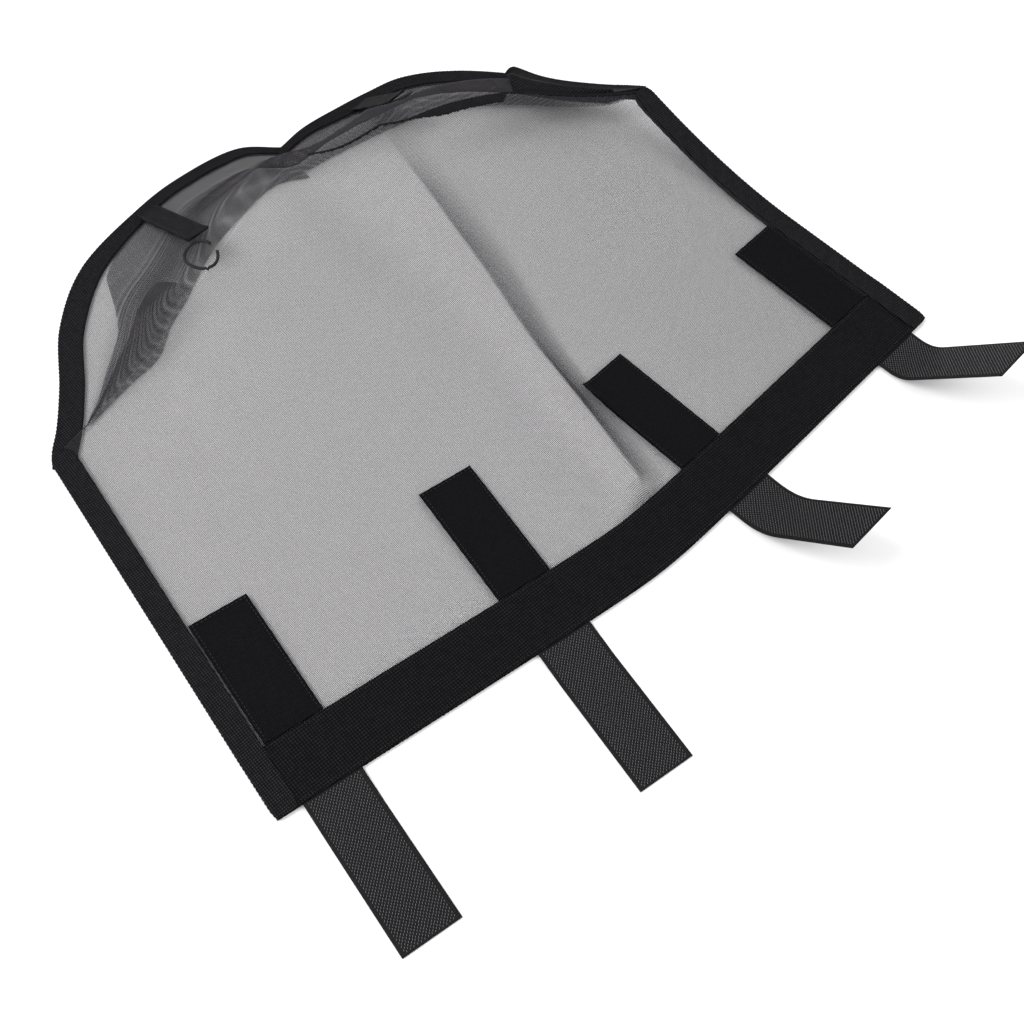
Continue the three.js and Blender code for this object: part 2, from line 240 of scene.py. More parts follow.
# The two colours of each cloth are its painted shade between the threads and its painted highlight on
# their tops.
WEBBING = cloth("webbing", (0.0015, 0.0015, 0.002), (0.014, 0.014, 0.015), 0.7, 0.05, WEAVE)
BOUND = cloth("binding_tape", (0.0015, 0.0015, 0.002), (0.024, 0.024, 0.026), 0.68, 0.06, 2.0)
PILE = cloth("loop_pile", (0.0015, 0.0015, 0.002), (0.012, 0.012, 0.013), 0.9, 0.05, 1.7, 500, 1800)
TAPE_BASE = cloth("hook_tape", (0.004, 0.004, 0.0045), (0.015, 0.015, 0.016), 0.7, 0.12, 1.8)
# Painted highlight: the hooks' light grey stands in for the glints on their nylon monofilament.
HOOKS = plain("hook_filament", (0.14, 0.14, 0.15), 0.32, 0.55)
THREAD = plain("sewing_thread", (0.016, 0.016, 0.017), 0.5, 0.3)
# The cord too gets painted shade between its threads and a painted highlight on their tops.
LOOP_CORD = cloth("loop_cord", (0.004, 0.004, 0.005), (0.03, 0.03, 0.032), 0.6, 0.2, 1.5)


# ---- plan curves --------------------------------------------------------------------------------
class Curve:
    """A smooth curve through points (centripetal Catmull-Rom), read by its arc length."""

    def __init__(self, points, steps=40):
        points = np.array([(*p, 0.0)[:3] if len(p) == 2 else p for p in points], float)
        points = np.vstack([2 * points[0] - points[1], points, 2 * points[-1] - points[-2]])
        line = []
        for a, b, c, d in zip(points, points[1:], points[2:], points[3:]):
            ab, bc, cd = (np.linalg.norm(q - p) ** 0.5 for p, q in ((a, b), (b, c), (c, d)))
            leave = ((b - a) / ab - (c - a) / (ab + bc) + (c - b) / bc) * bc
            arrive = ((c - b) / bc - (d - b) / (bc + cd) + (d - c) / cd) * bc
            u = np.linspace(0, 1, steps, endpoint=False)[:, None]
            line.append(b + leave * u + (3 * (c - b) - 2 * leave - arrive) * u ** 2
                        + (2 * (b - c) + leave + arrive) * u ** 3)
        line.append(points[-2:-1])
        self.line = np.vstack(line)
        run = np.linalg.norm(np.diff(self.line, axis=0), axis=1)
        self.run = np.concatenate([[0], np.cumsum(run)])
        self.length = self.run[-1]

    def at(self, share):
        place = np.asarray(share, float) * self.length
        return np.stack([np.interp(place, self.run, self.line[:, k]) for k in range(3)], axis=-1)

    def tangent(self, share):
        step = 0.5 / self.length
        ahead = self.at(np.minimum(1, np.asarray(share) + step))
        behind = self.at(np.maximum(0, np.asarray(share) - step))
        way = ahead - behind
        return way / np.linalg.norm(way, axis=-1, keepdims=True)


NOTCH = (20, 538)
LOBES = {
    LEFT: Curve([(-323, 376), (-316, 388), (-301, 405), (-278, 437), (-246, 487), (-198, 529),
                 (-127, 554), (-78, 563), (-12, 560), NOTCH]),
    RIGHT: Curve([NOTCH, (50, 545), (92, 546), (125, 545), (163, 541), (208, 519),
                  (250, 480, 3), (281, 434, 10), (303, 402, 18), (315, 386, 23), (324, 373, 27)]),
}
SEAM = Curve([
    (-320, 382, 0), (-282, 391, 3), (-230, 403, 12), (-196, 409, 20), (-169, 426, 26), (-136, 436, 31),
    (-92, 456, 33), (-45, 478, 34), (0, 494, 35), (40, 474, 41), (85, 463, 47), (144, 452, 49),
    (204, 430, 46), (256, 399, 38), (296, 378, 33), (321, 368, 31)])
SEAM_NOTCH = 0.53           # the place along the seam below the notch
HOOD_START = 0.005          # how far from the seam's two ends the hood starts
HEM_CENTRE = 24.0           # length beside the hem's middle over which its two halves' lean grows
# places along the hood's whole edge
EDGE_POINTS = np.vstack([lobe.at(np.linspace(0, 1, 141)) for lobe in LOBES.values()])


def beside_hem(half, d, t):
    """Plan place d along one half of the hem from its centre and t up from its lower edge."""
    d, t = np.asarray(d, float), np.asarray(t, float)
    rise = np.hypot(d * math.sin(HEM_ANGLE), HEM_BEND)
    lean = t * math.sin(HEM_ANGLE) * smooth(0, HEM_CENTRE, d)
    return np.stack([half * (d * math.cos(HEM_ANGLE) - lean),
                     rise + t * math.cos(HEM_ANGLE)], axis=-1)


def hem_place(across, t, short=1.2):
    along = (2 * np.asarray(across, float) - 1) * (HALF_HEM - short)
    left = beside_hem(LEFT, np.abs(along), t)
    right = beside_hem(RIGHT, np.abs(along), t)
    return np.where((along < 0)[..., None], left, right)


# ---- the shape of the front panel ---------------------------------------------------------------
CREST_HEM = 0.558           # the ridge's place at the hem and at the seam
CREST_SEAM = 0.617
CREST_BOW = 0.004           # how far it bows sideways in between
CREST_SHIFT = 0.010         # how far its lower part lies further left
CREST_HEIGHT = 22.5
CREST_LEFT = 75.0           # reach of its gentle side and of its steep side
CREST_RIGHT = 36.0
CREST_GENTLE = 2.0          # how sharply each side falls away from the crest
CREST_STEEP = 1.5
FLAT_TO = 0.38              # the panel lies flat up to here, and then rises to the seam


def ridge(across, up):
    """Height of the ridge over the panel: gentle on the left of its crest, steep on the right."""
    crest = mix(CREST_HEM, CREST_SEAM, up) + CREST_BOW * np.sin(np.pi * np.clip(1.25 * up, 0, 1))
    crest = crest - CREST_SHIFT * (1 - smooth(0.35, 0.65, up))
    offset = (across - crest) * 2 * HALF_HEM
    grown = smooth(0, 0.25, up)
    height = CREST_HEIGHT * mix(0.8, 1, grown) * smooth(0, 0.04, up) * (1 - 0.6 * smooth(0.78, 1, up))
    gentle = height * np.maximum(0, 1 + offset / (CREST_LEFT * mix(0.7, 1, grown))) ** CREST_GENTLE
    steep_reach = CREST_RIGHT * mix(0.8, 1, smooth(0.2, 0.55, up))
    steep = height * np.maximum(0, 1 - offset / steep_reach) ** CREST_STEEP
    rounding = 0.1 * height
    return np.maximum(0, (gentle + steep - np.hypot(gentle - steep, rounding)) / 2)


def panel(across, up):
    """Place on the front panel: across 0 to 1 between its sides, up 0 at the hem to 1 at the seam."""
    across, up = np.broadcast_arrays(np.asarray(across, float), np.asarray(up, float))
    low = hem_place(across, np.where(up < 0, HEM * (1 + up), HEM))
    high = SEAM.at(across)
    rise = np.maximum(up, 0)
    plan = mix(low, high[..., :2], rise[..., None])
    lift = high[..., 2] * np.maximum(0, (rise - FLAT_TO) / (1 - FLAT_TO)) ** 1.8
    z = PANEL_Z + lift + ridge(across, rise)
    return np.concatenate([plan, z[..., None]], axis=-1)


# ---- the shape of the hood ----------------------------------------------------------------------
FLAT_EDGE = BINDING + 3     # the cloth lies flat this close to the hood's edge
LAST_ROW = 1.98             # the cloth ends under the binding, just short of its edge
# the back layer starts at this row, on the left in the lobe's upper part only: in the left corner
# it is a strip between two rows beside the seam, short of the binding
HOOD_MOUTH = {LEFT: 0.3, RIGHT: 0.6}
CORNER_ROWS = (0.06, 0.62)
FOLD_GAP = 1.3              # height between the front layer and the slack folded in under it


def nearest_edge(plan):
    """How far a place is from the hood's bound edge, and how high that edge is there."""
    away = np.linalg.norm(EDGE_POINTS[:, :2] - plan[..., None, :], axis=-1)
    return away.min(axis=-1), np.maximum(0, EDGE_POINTS[away.argmin(axis=-1), 2])


def hood_front(half, along, row):
    """Place on the hood's front layer: row 0 at the seam, 1 where its flat edge starts, 2 at the end."""
    along, row = np.broadcast_arrays(np.asarray(along, float), np.asarray(row, float))
    first, last = (HOOD_START, SEAM_NOTCH) if half == LEFT else (SEAM_NOTCH, 1 - HOOD_START)
    across = mix(first, last, along)
    low = SEAM.at(across)
    top = low[..., 2] + PANEL_Z + ridge(across, 1.0)
    edge = LOBES[half].at(along)
    gap = 1 / np.linalg.norm((edge - low)[..., :2], axis=-1)  # a millimetre, as a share of the way
    plan_at = lambda out: mix(low[..., :2], edge[..., :2], out[..., None])
    from_edge = lambda out: nearest_edge(plan_at(out))[0]
    wide = from_edge(gap) > FLAT_EDGE
    flat_from, too_far = 2 * gap, np.ones_like(gap)
    for _ in range(16):
        middle = (flat_from + too_far) / 2
        inside = from_edge(middle) > FLAT_EDGE
        flat_from = np.where(inside & wide, middle, flat_from)
        too_far = np.where(~inside & wide, middle, too_far)
    edge_at = 1 - 2.4 * gap
    sloping = mix(0.2 * gap, flat_from, np.minimum(row, 1))
    out = np.where(row < 1, sloping, mix(flat_from, edge_at, row - 1))
    away = np.clip(row, 0, 1)
    if half == LEFT:
        held = mix(0.08, 0.25, smooth(0.55, 0.75, along))
        level = mix(0.8, 1.0, smooth(0.5, 0.75, along))
        bulge = 0
    else:
        held, level = 0.25, 1.0
        bulge = 3 * np.sin(np.pi * np.minimum(1, away / 0.5)) * smooth(0, 0.2, along)
    share = (1 - smooth(held, level, away)) / (1 - smooth(held, level, 0))
    plan = plan_at(out)
    base = nearest_edge(plan)[1] + HOOD_FRONT_Z
    z = base + (top - base) * np.where(wide | (row <= 0), share, 1 - away) + bulge
    return np.concatenate([plan, z[..., None]], axis=-1)


def hood_back(half, along, share):
    """Place on the hood's back layer, flat under the front one: 0 at its first row, 1 at its last."""
    first, last = HOOD_MOUTH[half], LAST_ROW
    if half == LEFT:
        upper_part = smooth(0.34, 0.72, along)
        first, last = mix(CORNER_ROWS[0], first, upper_part), mix(CORNER_ROWS[1], last, upper_part)
    place = hood_front(half, along, mix(first, last, share))
    place[..., 2] = nearest_edge(place[..., :2])[1] + HOOD_BACK_Z
    return place


def hood_fold(along, share):
    """The slack of the left corner's front layer, folded in under it beside the seam."""
    place = hood_front(LEFT, mix(0.03, 0.5, along), mix(0.04, 0.45, share))
    floor = nearest_edge(place[..., :2])[1] + HOOD_BACK_Z + 0.6
    place[..., 2] = np.maximum(place[..., 2] - FOLD_GAP, floor)
    return place


# ---- solids -------------------------------------------------------------------------------------
def piece(name, points, faces, materials, slot, body="screen", tones=None):
    """One mesh object from closed solids given in millimetres; faces is a list of index arrays."""
    placed = np.asarray(points, float) * MM
    placed[:, 1] += SHIFT_Y
    corner = [faces[k][:, (0, 1, 2)] for k in range(len(faces)) if faces[k].shape[1] == 3]
    corner += [f[:, c] for f in faces if f.shape[1] == 4 for c in ((0, 1, 2), (0, 2, 3))]
    corner += [f[:, (0, k, k + 1)] for f in faces if f.shape[1] > 4 for k in range(1, f.shape[1] - 1)]
    a, b, c = np.vstack(corner).T
    volume = np.einsum("ij,ij->", np.cross(placed[a], placed[b]), placed[c])
    faces = [f[:, ::-1] if volume < 0 else f for f in faces]
    mesh = bpy.data.meshes.new(name)
    mesh.from_pydata(placed.tolist(), [], [face for f in faces for face in f.tolist()])
    for material in materials:
        mesh.materials.append(material)
    if tones is not None:
        mesh.polygons.foreach_set("material_index", tones)
    mesh.polygons.foreach_set("use_smooth", [True] * len(mesh.polygons))
    obj = bpy.data.objects.new(name, mesh)
    bpy.context.collection.objects.link(obj)
    if body:
        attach(obj, body)
    return obj


def join(parts):
    """Puts solids together: each part is (points, faces)."""
    points, faces, start = [], {}, 0
    for p, fs in parts:
        points.append(p)
        for f in fs:
            faces.setdefault(f.shape[1], []).append(f + start)
        start += len(p)
    return np.vstack(points), [np.vstack(f) for f in faces.values()]


def sweep(rings):
    """A closed solid through rings of points: rings is (stations, points in a ring, 3)."""
    stations, count = rings.shape[:2]
    base = np.arange((stations - 1) * count).reshape(stations - 1, count)
    ahead = base + count
    sides = np.stack([base, np.roll(base, -1, 1), np.roll(ahead, -1, 1), ahead], axis=-1).reshape(-1, 4)
    start = np.arange(count)[::-1][None]
    end = (np.arange(count) + (stations - 1) * count)[None]
    return rings.reshape(-1, 3), [sides, start, end]


def relief_slab(top, under):
    """A closed solid with a fine top (columns, rows, 3) and a plain underside (columns, 2, 3)."""
    columns, rows = top.shape[:2]
    grid = np.arange(columns * rows).reshape(columns, rows)
    low = np.arange(columns * 2).reshape(columns, 2) + columns * rows
    quad = lambda g: np.stack([g[:-1, :-1], g[1:, :-1], g[1:, 1:], g[:-1, 1:]], -1).reshape(-1, 4)
    near = np.stack([grid[:-1, 0], low[:-1, 0], low[1:, 0], grid[1:, 0]], -1)
    far = np.stack([grid[1:, -1], low[1:, 1], low[:-1, 1], grid[:-1, -1]], -1)
    first = np.concatenate([grid[0], low[0][::-1]])[None]
    last = np.concatenate([grid[-1], low[-1][::-1]])[:, None].T[:, ::-1]
    points = np.vstack([top.reshape(-1, 3), under.reshape(-1, 3)])
    return points, [quad(grid), quad(low)[:, ::-1], near, far, first, last]


def weave(s, w, pitch=WEAVE, column=2.2):
    """Height of plain-woven webbing: ribs along s that change places at each column of w."""
    turn = np.floor(w / column) % 2
    crown = np.sin(np.pi * ((w / column) % 1)) ** 0.5
    return RIB * crown * (0.5 + 0.5 * np.cos(2 * np.pi * s / pitch + np.pi * turn))


# ---- open mesh cloth ----------------------------------------------------------------------------
def surface(points):
    """A surface that can be felt from above, from a grid of points (columns, rows, 3)."""
    columns, rows = points.shape[:2]
    grid = np.arange(columns * rows).reshape(columns, rows)
    faces = np.stack([grid[:-1, :-1], grid[1:, :-1], grid[1:, 1:], grid[:-1, 1:]], -1).reshape(-1, 4)
    return BVHTree.FromPolygons(points.reshape(-1, 3).tolist(), faces.tolist())


DOWN = Vector((0, 0, -1))
ABOVE = 200.0               # higher than all of the cloth
CROWDED = 2.4               # the most that a yarn thickens
FINE_STEP = 3.0             # how finely the yarns of the hood's front layer are followed
FINE_TOLERANCE = 0.04
SECTION_HEIGHT = 0.866      # height of an equal-sided section with a side of 1
CROSSING = 0.32             # how far a yarn passes over or under its surface, as a share of its side
OVER_SURFACE = 0.3          # height of the yarns' middle over the surface
YARN_WANDER = 0.015         # how unevenly they are spaced
YARN_MIX = (0.2, 0.6, 0.2)  # shares of dark, plain and light ones


def felt(tree, x, y, along_x):
    """The surface's height at a place, and how much the yarns that run this way crowd on its slope."""
    hit, normal = tree.ray_cast(Vector((x, y, ABOVE)), DOWN)[:2]
    if hit is None:
        return None
    slope = (normal.y if along_x else normal.x) / max(0.2, abs(normal.z))
    return hit.z, min(CROWDED, (1 + slope * slope) ** 0.75)


def straightened(line, tolerance):
    """Drops the points that a line doesn't need."""
    step = np.linalg.norm(np.diff(line, axis=0), axis=1)
    line = line[np.concatenate([[True], step > 0.2])]
    keep = np.zeros(len(line), bool)
    keep[[0, -1]] = True
    spans = [(0, len(line) - 1)]
    while spans:
        a, b = spans.pop()
        if b - a < 2:
            continue
        t = np.linspace(0, 1, b - a + 1)[1:-1, None]
        off = np.abs(line[a + 1:b] - mix(line[a], line[b], t)).max(axis=1)
        if off.max() > tolerance:
            worst = a + 1 + int(off.argmax())
            keep[worst] = True
            spans += [(a, worst), (worst, b)]
    return line[keep]


def yarn_runs(tree, fixed, start, end, along_x, step, tolerance):
    """The stretches of one straight yarn that lie on the surface."""
    place = (lambda s: (s, fixed)) if along_x else (lambda s: (fixed, s))
    found = lambda s: felt(tree, *place(s), along_x)

    def edge(inside, outside):
        for _ in range(6):
            middle = (inside + outside) / 2
            if found(middle) is None:
                outside = middle
            else:
                inside = middle
        return inside

    runs, run, before = [], [], None
    for s in np.arange(start, end + step, step):
        here = found(s)
        if here is not None:
            if not run and before is not None:
                limit = edge(s, before)
                run.append((*place(limit), *found(limit)))
            run.append((*place(s), *here))
        elif run:
            limit = edge(before, s)
            run.append((*place(limit), *found(limit)))
            runs.append(np.array(run))
            run = []
        before = s
    if run:
        runs.append(np.array(run))
    return [line for line in (straightened(r, tolerance) for r in runs if len(r) > 2) if len(line) > 1]


def yarn_solid(run, side):
    """A thin three-cornered solid along a run; where the yarns crowd on a slope each is thicker."""
    line, side = run[:, :3], side * run[:, 3:]
    way = np.gradient(line, axis=0)
    way /= np.linalg.norm(way, axis=1, keepdims=True)
    across = np.cross(way, (0, 0, 1.0))
    across /= np.linalg.norm(across, axis=1, keepdims=True)
    normal = np.cross(across, way)
    tall = side * SECTION_HEIGHT
    ring = np.stack([line + across * side / 2 - normal * tall / 3, line + normal * tall * 2 / 3,
                     line - across * side / 2 - normal * tall / 3], axis=1)
    return sweep(ring)


def mesh_cloth(name, points, side=YARN, step=4.0, tolerance=0.08):
    """Woven mesh over a surface: straight yarns both ways, each a solid of its own."""
    tree = surface(points)
    low, high = points.reshape(-1, 3).min(axis=0), points.reshape(-1, 3).max(axis=0)
    parts, tones = [], []
    for along_x in (True, False):
        a, b = (1, 0) if along_x else (0, 1)
        lift = CROSSING * side * (-1 if along_x else 1)
        for fixed in np.arange(low[a] + 0.3, high[a], YARN_PITCH):
            fixed += rng.normal(0, YARN_WANDER)
            tone = rng.choice(3, p=YARN_MIX)
            for line in yarn_runs(tree, fixed, low[b], high[b], along_x, step, tolerance):
                line[:, 2] += OVER_SURFACE + lift
                parts.append(yarn_solid(line, side))
                tones.append(tone)
    points, faces = join(parts)
    counts = {}
    for (p, fs), tone in zip(parts, tones):
        for f in fs:
            counts.setdefault(f.shape[1], []).append(np.full(len(f), tone))
    order = np.concatenate([np.concatenate(c) for c in counts.values()]).astype(np.int32)
    return piece(name, points, faces, YARN_TONES, "mesh", tones=order)


# ---- front panel and hood cloth -----------------------------------------------------------------
def grid_of(shape, columns, rows, first, last):
    across, up = np.meshgrid(np.linspace(0, 1, columns), np.linspace(first, last, rows), indexing="ij")
    return shape(across, up)


def make_mesh():
    """Makes the panel's and the hood's cloth, and gives their surfaces back."""
    hoods = {}
    points = grid_of(panel, 300, 130, -0.97, 1.0)
    front = mesh_cloth("panel_mesh", points)
    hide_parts("front_mesh")
    for half, side in ((LEFT, "left"), (RIGHT, "right")):
        inside = lambda a, r: hood_front(half, a, r)
        outer = grid_of(inside, 240, 80, 0, LAST_ROW)
        layer = mesh_cloth(f"hood_front_mesh_{side}", outer, HOOD_YARN, FINE_STEP, FINE_TOLERANCE)
        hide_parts(f"hood_front_{side}")
        hoods[half] = surface(outer)
        if half == LEFT:
            slack = grid_of(hood_fold, 100, 40, 0, 1)
            mesh_cloth("hood_fold_mesh_left", slack, HOOD_YARN, FINE_STEP, FINE_TOLERANCE)
        ends = (0.012, 1.0) if half == LEFT else (0.0, 0.988)
        below = lambda a, r: hood_back(half, mix(*ends, a), r)
        inner = grid_of(below, 120, 48, 0, 1)
        layer = mesh_cloth(f"hood_back_mesh_{side}", inner, HOOD_YARN)
        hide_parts(f"hood_back_{side}")
    return surface(points), hoods


def height_over(tree, plan, missing):
    """The height of a cloth at places of the plan."""
    hits = [tree.ray_cast(Vector((x, y, ABOVE)), DOWN)[0] for x, y in plan.reshape(-1, 2)]
    return np.array([hit.z if hit else missing for hit in hits]).reshape(plan.shape[:-1])


PANEL, HOODS = make_mesh()


# ---- webbing hem --------------------------------------------------------------------------------
def hem_band(name, z, thickness, node, pitch):
    columns = int(2 * HALF_HEM / pitch * 3)
    width = np.unique(np.concatenate([np.arange(0, HEM, 1.1), [0.25, HEM - 0.25, HEM]]))
    across = np.linspace(0, 1, columns)
    a, w = np.meshgrid(across, width, indexing="ij")
    at_rim = np.where((w < 0.1) | (w > HEM - 0.1), 1, 0)
    edge = 0.35 * np.sin(2 * np.pi * a * 2 * HALF_HEM / pitch) * at_rim
    plan = hem_place(a, w + edge)
    rim = np.minimum(1, np.minimum(w, HEM - w) / 1.2)
    drift = 0.25 * np.sin(a * 31 + w * 0.05) + 0.2 * np.sin(a * 73 + 1.3)
    body = thickness * (0.45 + 0.55 * np.sqrt(rim))
    top = z + body + weave((a * 2 * HALF_HEM), w, pitch) * rim + drift * 0.5
    upper = np.concatenate([plan, top[..., None]], axis=-1)
    ends = np.array([0, HEM])
    a2, w2 = np.meshgrid(across, ends, indexing="ij")
    lower = np.concatenate([hem_place(a2, w2), np.full(a2.shape + (1,), z)], axis=-1)
    band = piece(name, *relief_slab(upper, lower), [WEBBING], "webbing")
    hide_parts(node)


# ---- folded bindings ----------------------------------------------------------------------------
NOTCH_LAP = 7.0             # how far the hood's two bindings pass each other at the notch
ROUND_END = 11.0            # reach of a side binding's rounded corners
BINDING_STEP = 0.55         # spacing of a binding's stations
SCALLOP = 0.45              # depth and pitch of the waves along its fold
SCALLOP_PITCH = 3.8


def folded_binding(name, edge, inward, top, wide, node, under=0.15, thickness=0.9):
    """A tape folded over an edge, with its inward direction, upper height and width at each place."""
    run = np.concatenate([[0], np.cumsum(np.linalg.norm(np.diff(edge, axis=0), axis=1))])
    scallop = SCALLOP * (0.5 + 0.5 * np.cos(2 * np.pi * run / SCALLOP_PITCH))
    inset = np.concatenate([np.arange(1.1, BINDING - 0.5, 1.1), [BINDING - 0.15]])
    rings = []
    for k in range(len(edge)):
        rise = top[k]
        upper = rise + weave(run[k], inset) * np.minimum(1, (BINDING - inset) / 1.5 + 0.2)
        outline = [(BINDING, under), (BINDING * 0.5, under), (1.2, under), (0.3, under + 0.5),
                   (0.0, rise * 0.5), (0.25, rise - 0.35)]
        outline[3:] = [(x - scallop[k], z) for x, z in outline[3:]]
        outline += list(zip(inset, upper))
        outline += [(BINDING, rise - 0.3), (BINDING, rise - thickness), (thickness, rise - thickness),
                    (thickness, under + thickness), (BINDING, under + thickness)]
        outline = np.array(outline)
        outline[:, 0] *= wide[k] / BINDING
        plan = edge[k, :2] + inward[k] * outline[:, :1]
        rings.append(np.concatenate([plan, (edge[k, 2] + outline[:, 1])[:, None]], axis=1))
    rings = np.array(rings)
    obj = piece(name, *sweep(rings), [BOUND], "webbing")
    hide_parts(node)


def resampled(line, step):
    run = np.concatenate([[0], np.cumsum(np.linalg.norm(np.diff(line, axis=0), axis=1))])
    place = np.linspace(0, run[-1], max(2, int(run[-1] / step)))
    return np.stack([np.interp(place, run, line[:, k]) for k in range(line.shape[1])], axis=-1)


def side_binding(half, side):
    up = np.linspace(-1, 1.012, 160)
    edge = panel(0 if half == LEFT else 1, up)
    inward = beside_hem(half, HALF_HEM - 1, 0) - beside_hem(half, HALF_HEM, 0)
    edge[:, :2] -= inward * 1.2
    edge[:, 2] -= PANEL_Z
    edge = resampled(edge, BINDING_STEP)
    from_hem = np.linalg.norm(edge[:, :2] - edge[0, :2], axis=1)
    top = mix(SIDE_TOP_Z + 1.0, PANEL_Z + 2.4, smooth(HEM - 4, HEM + 14, from_hem))
    corner = np.clip((from_hem - from_hem[-1]) / ROUND_END + 1, 0, 1)
    corner = np.maximum(corner, 0.7 * np.clip(1 - from_hem / ROUND_END, 0, 1))
    drawn = ROUND_END * 0.6 * (1 - np.sqrt(1 - 0.98 * corner ** 2))
    edge[:, :2] += inward * drawn[:, None]
    ways = np.tile(inward, (len(edge), 1))
    wide = BINDING - 2 * drawn
    folded_binding(f"side_binding_tape_{side}", edge, ways, top, wide, f"side_binding_{side}")


def hood_binding(half, side):
    """The hood's binding, rolled over so that it shows narrower towards the notch."""
    lobe = LOBES[half]
    share = np.linspace(0, 1, int(lobe.length / BINDING_STEP))
    edge = lobe.at(share)
    edge[:, 2] = np.maximum(0, edge[:, 2])
    way = lobe.tangent(share)[:, :2]
    past = NOTCH_LAP * (smooth(0.985, 1, share) if half == LEFT else -smooth(0.015, 0, share))
    edge[:, :2] += way * past[:, None]
    inward = np.stack([way[:, 1], -way[:, 0]], axis=-1)
    inward /= np.linalg.norm(inward, axis=1, keepdims=True)
    top = np.full(len(edge), HOOD_TOP_Z + 0.9)
    if half == LEFT:
        wide = mix(BINDING, 11, smooth(0.35, 0.75, share))
        wide = mix(wide, 7, smooth(0.85, 1, share))
    else:
        wide = mix(8, 14, smooth(0, 0.25, share))
    folded_binding(f"hood_binding_tape_{side}", edge, inward, top, wide, f"hood_binding_{side}")


# ---- hook and loop ------------------------------------------------------------------------------
PILE_PITCH = 2.4            # of the slanting rows in a patch's pile
PILE_UNEVEN = 0.25


def loop_patch(number, place):
    half, d = (LEFT if place < 0 else RIGHT), abs(place)
    across = np.linspace(-TAPE / 2, TAPE / 2, 63)
    up = np.linspace(HEM + 0.3, HEM + PATCH_LENGTH, 141)
    a, u = np.meshgrid(across, up, indexing="ij")
    plan = beside_hem(half, d + half * a, u)
    rim = np.minimum(1, np.minimum(TAPE / 2 - np.abs(a), np.minimum(u - up[0], up[-1] - u)) / 1.0)
    slant = lambda t: np.cos(2 * np.pi * t / PILE_PITCH)
    diagonal = 0.5 + 0.5 * slant(a + 0.5 * u) * slant(u - 0.5 * a)
    lift = height_over(PANEL, plan, PANEL_Z) - PANEL_Z
    pile = 0.32 * diagonal + rng.uniform(0, PILE_UNEVEN, a.shape)
    z = FRONT_HEM_Z + lift + 0.5 + 0.6 * rim + pile * rim
    upper = np.concatenate([plan, z[..., None]], axis=-1)
    lower = upper[:, [0, -1]].copy()
    lower[..., 2] = FRONT_HEM_Z + lift[:, [0, -1]]
    patch = piece(f"patch_{number}", *relief_slab(upper, lower), [PILE], "loop_pile")
    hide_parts(f"loop_patch_{number}")


SELVEDGE = 3.5              # plain edge of the hook tape
HOOK_ROW = 3.0              # spacing of the hooks along the tape and across it
HOOK_COLUMN = 1.5
HOOK_THICK = 0.24           # from a hook's middle to each corner of its section
HOOK_JITTER = 0.08
HOOK_STEM = ((0, 0.5), (0.1, 1.05), (0.5, 1.5), (1.2, 1.2))  # its run along the tape, and its height
HOOK_LEAN = 0.6             # how far it runs sideways for each millimetre along
CURL_FLAT = 9.0             # length of strap that stays nearly flat beside the hem
CURL_BEND = (1, 1, 46, 30)  # how far past that each strap's curl reaches


def strap_profile(curl, bend):
    """Reach and height along a strap from the hem's edge, and the slope there, each millimetre."""
    reach, rise, slopes = [0.0], [0.0], [0.0]
    for n in range(int(STRAP_LENGTH)):
        slope = math.radians(curl) * float(smooth(CURL_FLAT - 3, CURL_FLAT + bend, n + 0.5))
        reach.append(reach[-1] + math.cos(slope))
        rise.append(rise[-1] + math.sin(slope))
        slopes.append(slope)
    return np.array(reach), np.array(rise), np.array(slopes)


